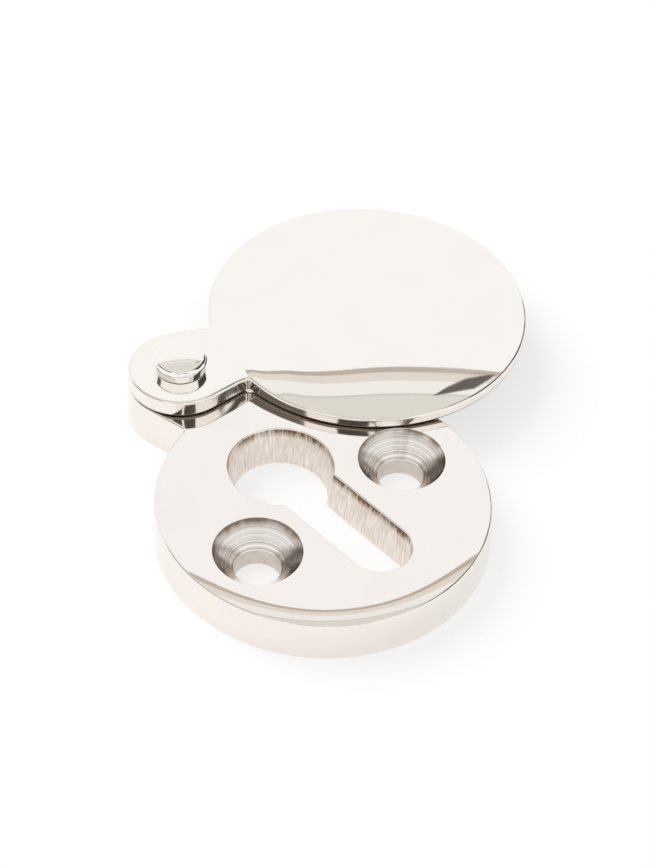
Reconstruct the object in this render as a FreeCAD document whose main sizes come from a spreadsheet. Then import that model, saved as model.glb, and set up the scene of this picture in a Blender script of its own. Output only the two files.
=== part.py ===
import FreeCAD, Part
import math
import os

import Sketcher

V = FreeCAD.Vector
UP = V(0, 0, 1)

doc = FreeCAD.newDocument("escutcheon")

# The sizes, in millimetres and degrees

SIZES = [
    ("plate_radius", 15.0, "round plate, at its back"),
    ("plate_thickness", 3.9, "back face to the flat of the front"),
    ("wall_draft", 3.2, "lean of the plate's outer walls, narrower at the front"),
    ("roll_width", 3.1, "ring along the edge where the polished front falls away"),
    ("roll_radius", 53.0, "radius of that fall"),
    ("front_bevel", 0.2, "narrow bevel all around the front of plate and lug"),
    ("plate_blend_radius", 11.0, "fall of the front beside the neck"),
    ("plate_blend_width", 2.7, "how far that fall reaches sideways"),
    ("pivot_beyond", 4.45, "pivot outside the plate's edge"),
    ("ear_radius", 4.8, "round end of lug and ear, at their tops"),
    ("ear_bevel", 0.25, "narrow bevel around the top of the ear"),
    ("neck_half_width", 4.5, "half of the flat where the neck meets a round part"),
    ("neck_inner_half_width", 3.25, "half width of the neck at its inner end"),
    ("lug_overlap", 3.8, "neck of the lug inside the plate's edge"),
    ("ear_overlap", 3.55, "neck of the ear inside the cover's rim"),
    ("screw_inset", 6.5, "screw holes inside the plate's edge"),
    ("screw_y", -1.0, "screw holes from the plate's centre, lengthwise"),
    ("screw_hole_diameter", 4.1, "through part of a screw hole"),
    ("countersink_diameter", 7.87, "countersink where it meets the front"),
    ("countersink_angle", 90.0, "angle of the countersink"),
    ("keyhole_x", -0.27, "keyhole from the centre line"),
    ("keyhole_head_y", 5.3, "centre of the keyhole's round head"),
    ("keyhole_head_radius", 4.72, "radius of that head at the front"),
    ("keyhole_slot_half", 2.86, "half width of the slot at the front"),
    ("keyhole_end_y", -7.4, "centre of the slot's round end"),
    ("keyhole_draft", 7.0, "lean of the keyhole's wall, narrower at the back"),
    ("keyhole_bevel", 0.2, "narrow bevel at the front of the keyhole"),
    ("cover_gap", 0.1, "air between plate and cover"),
    ("cover_overhang", 0.05, "cover beyond the plate, all around"),
    ("cover_offset", 0.11, "how far the closed cover hangs below the plate's centre"),
    ("cover_rim_thickness", 1.05, "cover at its rim"),
    ("cover_dome_radius", 127.0, "radius of the domed front"),
    ("cover_bevel", 0.1, "narrow bevel of the cover's rim"),
    ("cover_blend_radius", 6.5, "fall of the cover beside the neck"),
    ("cover_blend_width", 2.9, "how far that fall reaches sideways"),
    ("ear_thickness", 1.65, "flat ear of the cover"),
    ("rivet_head_radius", 2.45, "radius of the rivet's head"),
    ("rivet_head_height", 0.89, "upright wall of the head"),
    ("rivet_dome_radius", 10.0, "radius of the head's domed top"),
    ("rivet_head_round", 0.5, "rounding of the head's edge"),
    ("shank_radius", 1.3, "radius of the rivet's shank"),
    ("running_clearance", 0.05, "air around the shank in the ear and under the head"),
    ("plate_fit_clearance", 0.02, "air around the shank in the plate"),
    ("peen_radius", 2.1, "radius of the rivet's spread end"),
    ("peen_thickness", 0.8, "thickness of the spread end"),
    ("recess_clearance", 0.2, "air around that end, and behind it, in its recess"),
    ("open_angle", 76.1, "turn of the cover from closed to where it is shown"),
]

# Sizes that follow from others

FOLLOWING = [
    ("roll_start", "=plate_radius - roll_width", "radius where that fall starts"),
    ("pivot_distance", "=plate_radius + pivot_beyond", "centre of the plate to the pivot"),
    ("lug_length", "=pivot_beyond + lug_overlap", "pivot to the inner end of the lug's neck"),
    ("screw_x", "=plate_radius - screw_inset", "centre line to each screw hole"),
    ("cover_radius", "=plate_radius + cover_overhang", "the swinging cover's round part"),
    ("cover_reach", "=pivot_distance + cover_offset", "pivot to the middle of the cover"),
    ("recess_radius", "=peen_radius + recess_clearance", "radius of the rivet's recess in the back"),
    ("recess_depth", "=peen_thickness + recess_clearance", "depth of that recess"),
    ("ear_length", "=cover_reach - cover_radius + ear_overlap", "pivot to the inner end of the ear's neck"),
]

sheet = doc.addObject("Spreadsheet::Sheet", "sizes")
for row, (alias, value, note) in enumerate(SIZES + FOLLOWING, start=1):
    sheet.set("A%d" % row, alias)
    sheet.set("B%d" % row, str(value))
    sheet.set("C%d" % row, note)
    sheet.setAlias("B%d" % row, alias)
doc.recompute()


def size(alias):
    """One driving size, read from the sheet."""
    return float(sheet.get(alias))


# Helpers for bodies and sketches


def new_body(name):
    """An empty body with its own label."""
    body = doc.addObject("PartDesign::Body", name)
    body.Label = name
    doc.recompute()
    return body


def origin_plane(body, role):
    """The body's own origin plane of that role, such as XY_Plane."""
    for feature in body.Origin.OriginFeatures:
        if feature.Role == role:
            return feature
    raise ValueError(role)


def new_sketch(body, name, role, offset="0 mm"):
    """A sketch on an origin plane of the body, moved along the plane's normal by a formula."""
    sketch = body.newObject("Sketcher::SketchObject", name)
    sketch.AttachmentSupport = [(origin_plane(body, role), "")]
    sketch.MapMode = "FlatFace"
    sketch.setExpression("AttachmentOffset.Base.z", offset)
    doc.recompute()
    return sketch


def bind(sketch, name, formula, *constraint):
    """Adds a dimension to the sketch and ties it to a formula over the sheet."""
    index = sketch.addConstraint(Sketcher.Constraint(*constraint))
    sketch.renameConstraint(index, name)
    sketch.setExpression("Constraints." + name, formula)


def chain(sketch, *points):
    """Straight lines from point to point, joined at their ends; returns their numbers."""
    lines = []
    for start, end in zip(points[:-1], points[1:]):
        lines.append(sketch.addGeometry(Part.LineSegment(V(*start, 0), V(*end, 0)), False))
    for first, second in zip(lines[:-1], lines[1:]):
        join(sketch, first, 2, second, 1)
    return lines


def add_arc(sketch, centre, radius, start, end):
    """An arc of a circle, counter-clockwise between two angles in degrees."""
    circle = Part.Circle(V(*centre, 0), UP, radius)
    arc = Part.ArcOfCircle(circle, math.radians(start), math.radians(end))
    return sketch.addGeometry(arc, False)


def join(sketch, first, first_end, second, second_end):
    """Puts two points of a sketch in one place."""
    sketch.addConstraint(Sketcher.Constraint("Coincident", first, first_end, second, second_end))


def relate(sketch, kind, *members):
    """A relation without a size, such as Horizontal or Symmetric."""
    sketch.addConstraint(Sketcher.Constraint(kind, *members))


def level_and_upright(sketch, levels, uprights):
    """Keeps the first lines horizontal and the others vertical."""
    for line in levels:
        relate(sketch, "Horizontal", line)
    for line in uprights:
        relate(sketch, "Vertical", line)


def circle_at(sketch, name, x, y, radius):
    """A circle whose place and radius follow formulas over the sheet."""
    circle = sketch.addGeometry(Part.Circle(V(x[1], y[1], 0), UP, radius[1]), False)
    bind(sketch, name + "_radius", radius[0], "Radius", circle, radius[1])
    bind(sketch, name + "_x", x[0], "DistanceX", -1, 1, circle, 3, x[1])
    bind(sketch, name + "_y", y[0], "DistanceY", -1, 1, circle, 3, y[1])
    return circle


def turned(body, kind, name, sketch):
    """A full turn of a sketch around its own vertical axis."""
    feature = body.newObject("PartDesign::" + kind, name)
    feature.Profile = sketch
    feature.ReferenceAxis = (sketch, ["V_Axis"])
    feature.Angle = 360
    doc.recompute()
    return feature


def extruded(body, kind, name, sketch, length, draft="0 deg", backwards=False):
    """A pad or pocket of a sketch, with a length and a lean that follow formulas."""
    feature = body.newObject("PartDesign::" + kind, name)
    feature.Profile = sketch
    feature.Reversed = backwards
    feature.setExpression("Length", length)
    feature.setExpression("TaperAngle", draft)
    doc.recompute()
    return feature


def cut_away(body, name, tool):
    """Takes another body away from this one."""
    feature = body.newObject("PartDesign::Boolean", name)
    feature.Type = 1
    feature.addObjects([tool])
    doc.recompute()
    return feature


# Outlines that plate and cover share


def neck_outline(sketch, pivot_y, pivot_formula, length_alias):
    """Round end about the pivot and two straight sides that run in towards the round part."""
    radius = size("ear_radius")
    length = size(length_alias)
    half = size("neck_inner_half_width")
    lean = math.degrees(math.atan2(-length, half) + math.acos(radius / math.hypot(half, length)))
    end = add_arc(sketch, (0, pivot_y), radius, lean, 180 - lean)
    tangent_x = radius * math.cos(math.radians(lean))
    tangent_y = pivot_y + radius * math.sin(math.radians(lean))
    inner_y = pivot_y - length
    left, inner, right = chain(sketch, (-tangent_x, tangent_y), (-half, inner_y), (half, inner_y),
                               (tangent_x, tangent_y))
    relate(sketch, "Tangent", end, 2, left, 1)
    relate(sketch, "Tangent", right, 2, end, 1)
    relate(sketch, "Symmetric", inner, 1, inner, 2, -2)
    relate(sketch, "PointOnObject", end, 3, -2)
    bind(sketch, "end_radius", "sizes.ear_radius", "Radius", end, radius)
    bind(sketch, "inner_width", "2 * sizes.neck_inner_half_width", "DistanceX", inner, 1, inner, 2,
         2 * half)
    bind(sketch, "length", "sizes." + length_alias, "DistanceY", inner, 2, end, 3, length)
    if pivot_y:
        bind(sketch, "pivot", pivot_formula, "DistanceY", -1, 1, end, 3, pivot_y)
    else:
        relate(sketch, "PointOnObject", end, 3, -1)


def neck_section(sketch, top, top_formula, low, low_formula, blend):
    """Flat of the neck with a soft fall on both sides, seen end on."""
    radius = size(blend + "_blend_radius")
    reach = size(blend + "_blend_width")
    half = size("neck_half_width")
    wide = half + reach
    foot = math.degrees(math.acos(reach / radius))
    shoulder = top - radius + math.sqrt(radius ** 2 - reach ** 2)
    left, floor, right = chain(sketch, (-wide, shoulder), (-wide, low), (wide, low), (wide, shoulder))
    fall_right = add_arc(sketch, (half, top - radius), radius, foot, 90)
    flat = chain(sketch, (half, top), (-half, top))[0]
    fall_left = add_arc(sketch, (-half, top - radius), radius, 90, 180 - foot)
    join(sketch, right, 2, fall_right, 1)
    join(sketch, fall_right, 2, flat, 1)
    join(sketch, flat, 2, fall_left, 1)
    join(sketch, fall_left, 2, left, 1)
    level_and_upright(sketch, [], [left, right])
    relate(sketch, "Symmetric", floor, 1, floor, 2, -2)
    relate(sketch, "Symmetric", flat, 1, flat, 2, -2)
    relate(sketch, "Vertical", fall_right, 3, fall_right, 2)
    relate(sketch, "Vertical", fall_left, 3, fall_left, 1)
    relate(sketch, "Equal", fall_right, fall_left)
    bind(sketch, "fall", "sizes.%s_blend_radius" % blend, "Radius", fall_right, radius)
    bind(sketch, "flat_width", "2 * sizes.neck_half_width", "DistanceX", flat, 2, flat, 1, 2 * half)
    bind(sketch, "full_width", "2 * (sizes.neck_half_width + sizes.%s_blend_width)" % blend,
         "DistanceX", floor, 1, floor, 2, 2 * wide)
    bind(sketch, "top", top_formula, "DistanceY", -1, 1, flat, 1, top)
    bind(sketch, "low", low_formula, "DistanceY", -1, 1, floor, 1, low)


def fall_above(sketch, centre, fall_radius, edge, outer, roof):
    """Half outline of what the polish takes off: all above an arc that falls outwards to a bevel.

    Returns the arc, the bevel, the outer line and the roof.
    """
    start_x = centre[0]
    level = centre[1] + fall_radius
    low = centre[1] + math.sqrt(fall_radius ** 2 - (edge - start_x) ** 2)
    angle = math.degrees(math.acos((edge - start_x) / fall_radius))
    arc = add_arc(sketch, centre, fall_radius, angle, 90)
    foot = low - (outer - edge)
    bevel, side, top, inner = chain(sketch, (edge, low), (outer, foot), (outer, roof), (start_x, roof),
                                    (start_x, level))
    join(sketch, arc, 1, bevel, 1)
    join(sketch, inner, 2, arc, 2)
    level_and_upright(sketch, [top], [side, inner])
    relate(sketch, "Vertical", arc, 3, arc, 2)
    bind(sketch, "bevel_lean", "-45", "Angle", bevel, math.radians(-45))
    return arc, bevel, side, top


def bevelled_pad(body, name, sketch, bevel, low, draft):
    """A pad of the sketch downwards, and above it the narrow bevel up to its top."""
    extruded(body, "Pad", name, sketch, low, draft, True)
    extruded(body, "Pad", name + "_bevel", sketch, bevel, "-45 deg")


# Base plate: round plate with a keyhole, two countersunk screw holes and the lug for the pivot

base_plate = new_body("base_plate")

thickness = size("plate_thickness")
radius = size("plate_radius")
draft = size("wall_draft")
roll_start = size("roll_start")
roll_radius = size("roll_radius")

disc = new_sketch(base_plate, "plate_profile", "XZ_Plane")
top_x = radius - thickness * math.tan(math.radians(draft))
floor, wall, front, axis = chain(disc, (0, 0), (radius, 0), (top_x, thickness), (0, thickness), (0, 0))
join(disc, floor, 1, -1, 1)
join(disc, axis, 2, floor, 1)
level_and_upright(disc, [floor, front], [axis])
bind(disc, "radius", "sizes.plate_radius", "DistanceX", -1, 1, floor, 2, radius)
bind(disc, "thickness", "sizes.plate_thickness", "DistanceY", -1, 1, axis, 1, thickness)
bind(disc, "lean", "90 + sizes.wall_draft", "Angle", wall, math.radians(90 + draft))
turned(base_plate, "Revolution", "round_plate", disc)

plate_polish = new_body("plate_polish")
fall = new_sketch(plate_polish, "plate_fall_profile", "XZ_Plane")
edge = top_x - size("front_bevel")
roll, bevel, side, roof = fall_above(fall, (roll_start, thickness - roll_radius), roll_radius, edge,
                                     radius + 1, thickness + 1)
bind(fall, "start", "sizes.roll_start", "DistanceX", -1, 1, roll, 3, roll_start)
bind(fall, "top", "sizes.plate_thickness", "DistanceY", -1, 1, roll, 2, thickness)
bind(fall, "roll", "sizes.roll_radius", "Radius", roll, roll_radius)
bind(fall, "edge", "sizes.plate_radius - sizes.plate_thickness * tan(sizes.wall_draft * 1 deg)"
     " - sizes.front_bevel", "DistanceX", -1, 1, bevel, 1, edge)
bind(fall, "outer", "sizes.plate_radius + 1", "DistanceX", -1, 1, side, 1, radius + 1)
bind(fall, "roof", "sizes.plate_thickness + 1", "DistanceY", -1, 1, side, 2, thickness + 1)
turned(plate_polish, "Revolution", "plate_fall", fall)
neck = new_sketch(plate_polish, "plate_neck_section", "XZ_Plane", "-(sizes.plate_radius + 2) * 1 mm")
neck_section(neck, thickness, "sizes.plate_thickness", thickness / 2, "sizes.plate_thickness / 2",
             "plate")
extruded(plate_polish, "Pocket", "plate_neck_flat", neck, "sizes.plate_radius - 4", backwards=True)
cut_away(base_plate, "plate_front", plate_polish)

lug = new_sketch(base_plate, "lug_outline", "XY_Plane",
                 "(sizes.plate_thickness - sizes.front_bevel) * 1 mm")
neck_outline(lug, size("pivot_distance"), "sizes.pivot_distance", "lug_length")
bevelled_pad(base_plate, "lug", lug, "sizes.front_bevel", "sizes.plate_thickness - sizes.front_bevel",
             "sizes.wall_draft")


def keyhole_outline(name, grow, grow_formula):
    """Round head and straight slot at the front of the plate, wider all around by an allowance."""
    key_x = size("keyhole_x")
    head_y = size("keyhole_head_y")
    head_radius = size("keyhole_head_radius") + grow
    slot_half = size("keyhole_slot_half") + grow
    end_y = size("keyhole_end_y")
    throat_y = head_y - math.sqrt(head_radius ** 2 - slot_half ** 2)
    throat = math.degrees(math.acos(slot_half / head_radius))
    sketch = new_sketch(base_plate, name, "XY_Plane", "sizes.plate_thickness * 1 mm")
    head = add_arc(sketch, (key_x, head_y), head_radius, -throat, 180 + throat)
    left = chain(sketch, (key_x - slot_half, throat_y), (key_x - slot_half, end_y))[0]
    end = add_arc(sketch, (key_x, end_y), slot_half, 180, 360)
    right = chain(sketch, (key_x + slot_half, end_y), (key_x + slot_half, throat_y))[0]
    join(sketch, head, 2, left, 1)
    join(sketch, right, 2, head, 1)
    relate(sketch, "Tangent", left, 2, end, 1)
    relate(sketch, "Tangent", end, 2, right, 1)
    level_and_upright(sketch, [], [left, right])
    relate(sketch, "Vertical", head, 3, end, 3)
    bind(sketch, "head_radius", "sizes.keyhole_head_radius" + grow_formula, "Radius", head, head_radius)
    bind(sketch, "slot_half", "sizes.keyhole_slot_half" + grow_formula, "Radius", end, slot_half)
    bind(sketch, "aside", "sizes.keyhole_x", "DistanceX", -1, 1, head, 3, key_x)
    bind(sketch, "head_y", "sizes.keyhole_head_y", "DistanceY", -1, 1, head, 3, head_y)
    bind(sketch, "end_y", "sizes.keyhole_end_y", "DistanceY", -1, 1, end, 3, end_y)
    return sketch


keyhole = keyhole_outline("keyhole_outline", 0, "")
extruded(base_plate, "Pocket", "keyhole", keyhole, "sizes.plate_thickness + 0.5", "-sizes.keyhole_draft")
keyhole_front = keyhole_outline("keyhole_front_outline", size("keyhole_bevel"), " + sizes.keyhole_bevel")
extruded(base_plate, "Pocket", "keyhole_bevel", keyhole_front, "sizes.keyhole_bevel", "-45 deg")

screws = new_sketch(base_plate, "screw_places", "XY_Plane", "sizes.plate_thickness * 1 mm")
hole = size("screw_hole_diameter") / 2
for name, side in (("right", 1), ("left", -1)):
    circle_at(screws, name, ("%d * sizes.screw_x" % side, side * size("screw_x")),
              ("sizes.screw_y", size("screw_y")), ("sizes.screw_hole_diameter / 2", hole))
doc.recompute()
screw_holes = base_plate.newObject("PartDesign::Hole", "screw_holes")
screw_holes.Profile = screws
doc.recompute()
screw_holes.ThreadType = 0
screw_holes.HoleCutType = "Countersink"
screw_holes.DepthType = 1
screw_holes.setExpression("Diameter", "sizes.screw_hole_diameter")
screw_holes.setExpression("HoleCutDiameter", "sizes.countersink_diameter")
screw_holes.setExpression("HoleCutCountersinkAngle", "sizes.countersink_angle")
doc.recompute()

shank = size("shank_radius")
pivot_y = size("pivot_distance")

rivet_hole = new_sketch(base_plate, "rivet_hole_outline", "XY_Plane", "sizes.plate_thickness * 1 mm")
circle_at(rivet_hole, "hole", ("0 mm", 0), ("sizes.pivot_distance", pivot_y),
          ("sizes.shank_radius + sizes.plate_fit_clearance", shank + size("plate_fit_clearance")))
extruded(base_plate, "Pocket", "rivet_hole", rivet_hole, "sizes.plate_thickness + 0.5")

recess = new_sketch(base_plate, "recess_outline", "XY_Plane")
circle_at(recess, "recess", ("0 mm", 0), ("sizes.pivot_distance", pivot_y),
          ("sizes.recess_radius", size("recess_radius")))
extruded(base_plate, "Pocket", "rivet_recess", recess, "sizes.recess_depth", backwards=True)

# The finished part's origin lies halfway between the two screw holes, on the back

base_plate.setExpression("Placement.Base.y", "-sizes.screw_y")

# Swinging cover: domed round part and flat ear with the hole for the rivet, pivot at its origin

swing_cover = new_body("swing_cover")

cover_radius = size("cover_radius")
reach = size("cover_reach")
rim = size("cover_rim_thickness")
dome_radius = size("cover_dome_radius")
ear_top = size("ear_thickness")
dome_centre = rim - math.sqrt(dome_radius ** 2 - cover_radius ** 2)

disc = new_sketch(swing_cover, "cover_profile", "XZ_Plane", "sizes.cover_reach * 1 mm")
slab = ear_top + 2
floor, wall, front, axis = chain(disc, (0, 0), (cover_radius, 0), (cover_radius, slab), (0, slab), (0, 0))
join(disc, floor, 1, -1, 1)
join(disc, axis, 2, floor, 1)
level_and_upright(disc, [floor, front], [wall, axis])
bind(disc, "radius", "sizes.cover_radius", "DistanceX", -1, 1, floor, 2, cover_radius)
bind(disc, "slab", "sizes.ear_thickness + 2", "DistanceY", -1, 1, axis, 1, slab)
turned(swing_cover, "Revolution", "round_cover", disc)

cover_polish = new_body("cover_polish")
fall = new_sketch(cover_polish, "cover_fall_profile", "XZ_Plane", "sizes.cover_reach * 1 mm")
edge = cover_radius - size("cover_bevel")
dome, bevel, side, roof = fall_above(fall, (0, dome_centre), dome_radius, edge, cover_radius + 1, slab + 1)
relate(fall, "PointOnObject", dome, 3, -2)
bind(fall, "dome", "sizes.cover_dome_radius", "Radius", dome, dome_radius)
bind(fall, "centre", "sizes.cover_rim_thickness - sqrt(sizes.cover_dome_radius ^ 2"
     " - sizes.cover_radius ^ 2)", "DistanceY", -1, 1, dome, 3, dome_centre)
bind(fall, "edge", "sizes.cover_radius - sizes.cover_bevel", "DistanceX", -1, 1, bevel, 1, edge)
bind(fall, "outer", "sizes.cover_radius + 1", "DistanceX", -1, 1, side, 1, cover_radius + 1)
bind(fall, "roof", "sizes.ear_thickness + 3", "DistanceY", -1, 1, side, 2, slab + 1)
turned(cover_polish, "Revolution", "cover_fall", fall)
neck = new_sketch(cover_polish, "cover_neck_section", "XZ_Plane",
                  "(sizes.cover_reach - sizes.cover_radius - 2) * 1 mm")
neck_section(neck, ear_top, "sizes.ear_thickness", rim / 2, "sizes.cover_rim_thickness / 2", "cover")
extruded(cover_polish, "Pocket", "cover_neck_flat", neck, "sizes.cover_radius + 2", backwards=True)
cut_away(swing_cover, "cover_front", cover_polish)

ear = new_sketch(swing_cover, "ear_outline", "XY_Plane", "(sizes.ear_thickness - sizes.ear_bevel) * 1 mm")
neck_outline(ear, 0, "0 mm", "ear_length")
bevelled_pad(swing_cover, "ear", ear, "sizes.ear_bevel", "sizes.ear_thickness - sizes.ear_bevel", "0 deg")

ear_hole = new_sketch(swing_cover, "ear_hole_outline", "XY_Plane", "sizes.ear_thickness * 1 mm")
circle_at(ear_hole, "hole", ("0 mm", 0), ("0 mm", 0),
          ("sizes.shank_radius + sizes.running_clearance", shank + size("running_clearance")))
extruded(swing_cover, "Pocket", "ear_hole", ear_hole, "sizes.ear_thickness + 0.5")

swing_cover.setExpression("Placement.Base.y", "sizes.pivot_distance - sizes.screw_y")
swing_cover.setExpression("Placement.Base.z", "sizes.plate_thickness + sizes.cover_gap")
swing_cover.setExpression("Placement.Rotation.Angle", "sizes.open_angle")

# Rivet: domed head over the ear, shank, and the end spread in the recess at the back

pivot_rivet = new_body("pivot_rivet")

peen = size("peen_radius")
peen_low = size("recess_clearance")
recess_top = size("recess_depth")
head_low = thickness + size("cover_gap") + ear_top + size("running_clearance")
head_wide = size("rivet_head_radius")
crown = size("rivet_dome_radius")
shoulder = head_low + size("rivet_head_height")
soft = size("rivet_head_round")
crown_centre = shoulder - math.sqrt((crown - soft) ** 2 - (head_wide - soft) ** 2)
crown_start = math.degrees(math.atan2(shoulder - crown_centre, head_wide - soft))

rivet = new_sketch(pivot_rivet, "rivet_profile", "XZ_Plane")
lines = chain(rivet, (0, peen_low), (peen, peen_low), (peen, recess_top), (shank, recess_top),
              (shank, head_low), (head_wide, head_low), (head_wide, shoulder))
spread, spread_wall, spread_top, body_wall, underside, head_wall = lines
round_edge = add_arc(rivet, (head_wide - soft, shoulder), soft, 0, crown_start)
top = add_arc(rivet, (0, crown_centre), crown, crown_start, 90)
axis = chain(rivet, (0, crown_centre + crown), (0, peen_low))[0]
relate(rivet, "Tangent", head_wall, 2, round_edge, 1)
relate(rivet, "Tangent", round_edge, 2, top, 1)
join(rivet, top, 2, axis, 1)
join(rivet, axis, 2, spread, 1)
level_and_upright(rivet, [spread, spread_top, underside], [spread_wall, body_wall, head_wall, axis])
relate(rivet, "PointOnObject", spread, 1, -2)
relate(rivet, "PointOnObject", top, 3, -2)
bind(rivet, "peen_radius", "sizes.peen_radius", "DistanceX", spread, 1, spread, 2, peen)
bind(rivet, "peen_low", "sizes.recess_clearance", "DistanceY", -1, 1, spread, 1, peen_low)
bind(rivet, "peen_thickness", "sizes.peen_thickness", "DistanceY", spread_wall, 1, spread_wall, 2,
     recess_top - peen_low)
bind(rivet, "shank", "sizes.shank_radius", "DistanceX", -1, 1, body_wall, 1, shank)
bind(rivet, "head_low", "sizes.plate_thickness + sizes.cover_gap + sizes.ear_thickness"
     " + sizes.running_clearance", "DistanceY", -1, 1, body_wall, 2, head_low)
bind(rivet, "head_radius", "sizes.rivet_head_radius", "DistanceX", -1, 1, underside, 2, head_wide)
bind(rivet, "head_wall", "sizes.rivet_head_height", "DistanceY", head_wall, 1, head_wall, 2,
     shoulder - head_low)
bind(rivet, "head_round", "sizes.rivet_head_round", "Radius", round_edge, soft)
bind(rivet, "crown", "sizes.rivet_dome_radius", "Radius", top, crown)
turned(pivot_rivet, "Revolution", "rivet_body", rivet)
pivot_rivet.setExpression("Placement.Base.y", "sizes.pivot_distance - sizes.screw_y")

# Written out

doc.recompute()
for item in doc.Objects:
    if "Invalid" in item.State or "Error" in item.State:
        raise RuntimeError("%s did not build: %s" % (item.Name, item.State))

os.makedirs("parts", exist_ok=True)
for piece in (base_plate, swing_cover, pivot_rivet):
    if piece.Shape.isNull() or not piece.Shape.isValid() or len(piece.Shape.Solids) != 1:
        raise RuntimeError("%s is not one sound solid" % piece.Label)
    piece.Shape.exportStep("parts/%s.step" % piece.Label)
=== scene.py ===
"""A round keyhole escutcheon of polished nickel whose domed cover swings aside on a rivet.

The plate lies on its back on a white table, with the cover swung open to the right, in the soft
light of a small white studio. The three pieces stand in for their CAD nodes as finer meshes, plate
and cover with exact normals, because a mirror finish shows every facet.
"""

import logging
import math
from dataclasses import dataclass
from enum import Enum
from typing import Callable, Iterable, Optional

import bmesh
import bpy
from mathutils import Matrix, Vector

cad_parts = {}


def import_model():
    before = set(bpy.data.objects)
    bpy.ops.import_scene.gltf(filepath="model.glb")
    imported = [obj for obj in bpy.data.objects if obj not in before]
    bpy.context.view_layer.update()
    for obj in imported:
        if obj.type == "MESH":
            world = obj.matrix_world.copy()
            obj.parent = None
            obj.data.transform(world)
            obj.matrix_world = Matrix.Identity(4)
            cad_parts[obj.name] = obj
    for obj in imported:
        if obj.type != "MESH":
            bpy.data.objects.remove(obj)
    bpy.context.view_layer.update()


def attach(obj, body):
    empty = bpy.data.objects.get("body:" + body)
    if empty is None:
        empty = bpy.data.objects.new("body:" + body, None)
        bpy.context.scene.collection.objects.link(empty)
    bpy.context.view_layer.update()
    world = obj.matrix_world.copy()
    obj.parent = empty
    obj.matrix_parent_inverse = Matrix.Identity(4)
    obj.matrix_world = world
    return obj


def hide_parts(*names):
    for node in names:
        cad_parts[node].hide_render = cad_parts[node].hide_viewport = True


LOG = logging.getLogger("escutcheon")
MM = 0.001
UP = Vector((0.0, 0.0, 1.0))
ORIGIN = Vector((0.0, 0.0, 0.0))
WHITE = (1.0, 1.0, 1.0, 1.0)
Height = Callable[[float, float], float]
Colour = tuple[float, float, float]


class Finish(Enum):
    """Which of a piece's materials a surface takes."""

    FRONT = 0
    WALL = 1
    BROACHED = 2
    BACK = 3
    TURNED = 4


def placed(name: str, data: bpy.types.ID) -> bpy.types.Object:
    """Adds an object that holds the data to the scene.

    Args:
        name: The object's name.
        data: A mesh, lamp or camera.

    Returns:
        The object, at the origin.
    """
    made = bpy.data.objects.new(name, data)
    bpy.context.scene.collection.objects.link(made)
    return made


def drawn(name: str, mesh: bmesh.types.BMesh) -> bpy.types.Object:
    """Turns a finished bmesh into an object in the scene.

    Args:
        name: Name of the object and its mesh.
        mesh: The bmesh, which is freed.

    Returns:
        The object, at the origin.
    """
    data = bpy.data.meshes.new(name)
    mesh.to_mesh(data)
    mesh.free()
    return placed(name, data)


# Finishes


class NodeSheet:
    """Lays out the nodes of one tree."""

    def __init__(self, tree: bpy.types.NodeTree) -> None:
        """Takes the tree to draw in."""
        self.tree = tree

    def node(self, kind: str, **settings: object) -> bpy.types.Node:
        """Adds a node and sets its properties.

        Args:
            kind: The node's type name.
            settings: Properties of the node by name.

        Returns:
            The new node.
        """
        made = self.tree.nodes.new(kind)
        for name, value in settings.items():
            setattr(made, name, value)
        return made

    def join(self, source: bpy.types.NodeSocket, target: bpy.types.NodeSocket) -> None:
        """Links one socket to another."""
        self.tree.links.new(source, target)

    def math(self, operation: str, first: object, second: object = 0.0) -> bpy.types.NodeSocket:
        """Adds a Math node.

        Args:
            operation: Such as MULTIPLY.
            first: A socket or a number.
            second: A socket or a number.

        Returns:
            The node's result.
        """
        made = self.node("ShaderNodeMath", operation=operation)
        for index, value in enumerate((first, second)):
            if isinstance(value, bpy.types.NodeSocket):
                self.join(value, made.inputs[index])
            else:
                made.inputs[index].default_value = value
        return made.outputs[0]

    def seen(self) -> bpy.types.NodeSocket:
        """Tells rays from the camera, from gloss and through glass from those that only light.

        Returns:
            1 for a ray that shows the surroundings, or else 0.
        """
        paths = self.node("ShaderNodeLightPath").outputs
        shown = self.math("MAXIMUM", paths["Is Camera Ray"], paths["Is Glossy Ray"])
        return self.math("MAXIMUM", shown, paths["Is Transmission Ray"])


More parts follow.
